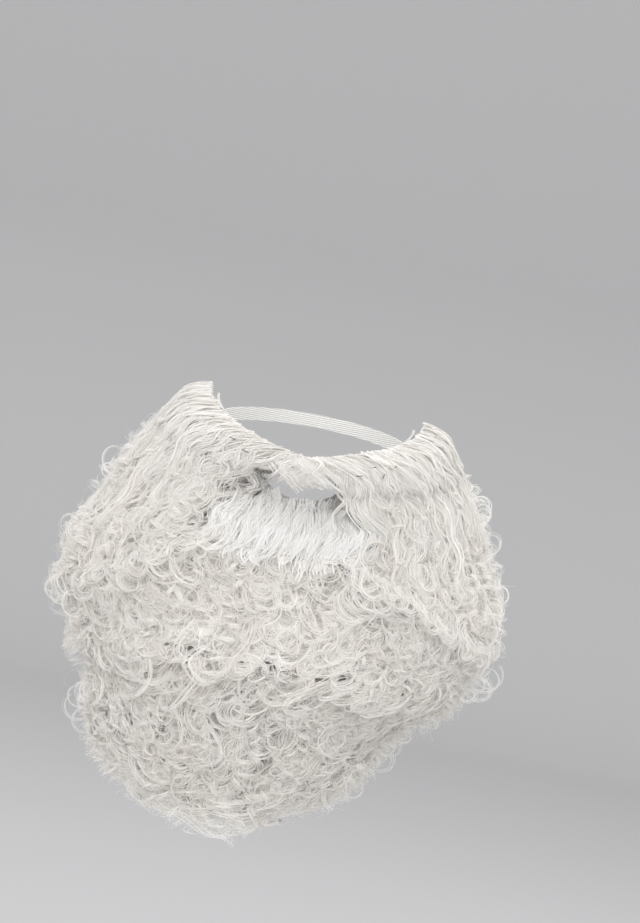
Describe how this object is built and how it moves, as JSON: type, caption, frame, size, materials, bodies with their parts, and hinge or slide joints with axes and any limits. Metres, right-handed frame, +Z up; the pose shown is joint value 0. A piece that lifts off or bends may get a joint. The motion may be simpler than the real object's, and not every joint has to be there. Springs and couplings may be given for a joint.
{
  "type": "fake beard",
  "caption": "Full curly white false beard with moustache: wefts of hair on a curved knitted face cloth, open at the mouth, with an elastic head strap.",
  "frame": {"origin": "inside of the face cloth where it sits on the chin, on the centre line", "axes": "+Z up, the beard faces -Y and the head goes in from +Y, +X to the right seen from the front"},
  "size_m": [0.3192, 0.2546, 0.3057],
  "materials": {
    "hair": "glossy white synthetic hair fibre in combed locks and tight curls",
    "cloth": "off-white knitted cloth",
    "elastic": "white woven elastic"
  },
  "bodies": {
    "root": {"backing": "cloth", "elastic_strap": "elastic", "moustache": "hair", "cheek_roll_left": "hair", "cheek_roll_right": "hair", "chin_bib": "hair", "side_weft_left": "hair", "side_weft_right": "hair", "chin_weft": "hair", "jaw_weft_left": "hair", "jaw_weft_right": "hair", "throat_weft_centre": "hair", "throat_weft_left": "hair", "throat_weft_right": "hair"}
  },
  "joints": []
}
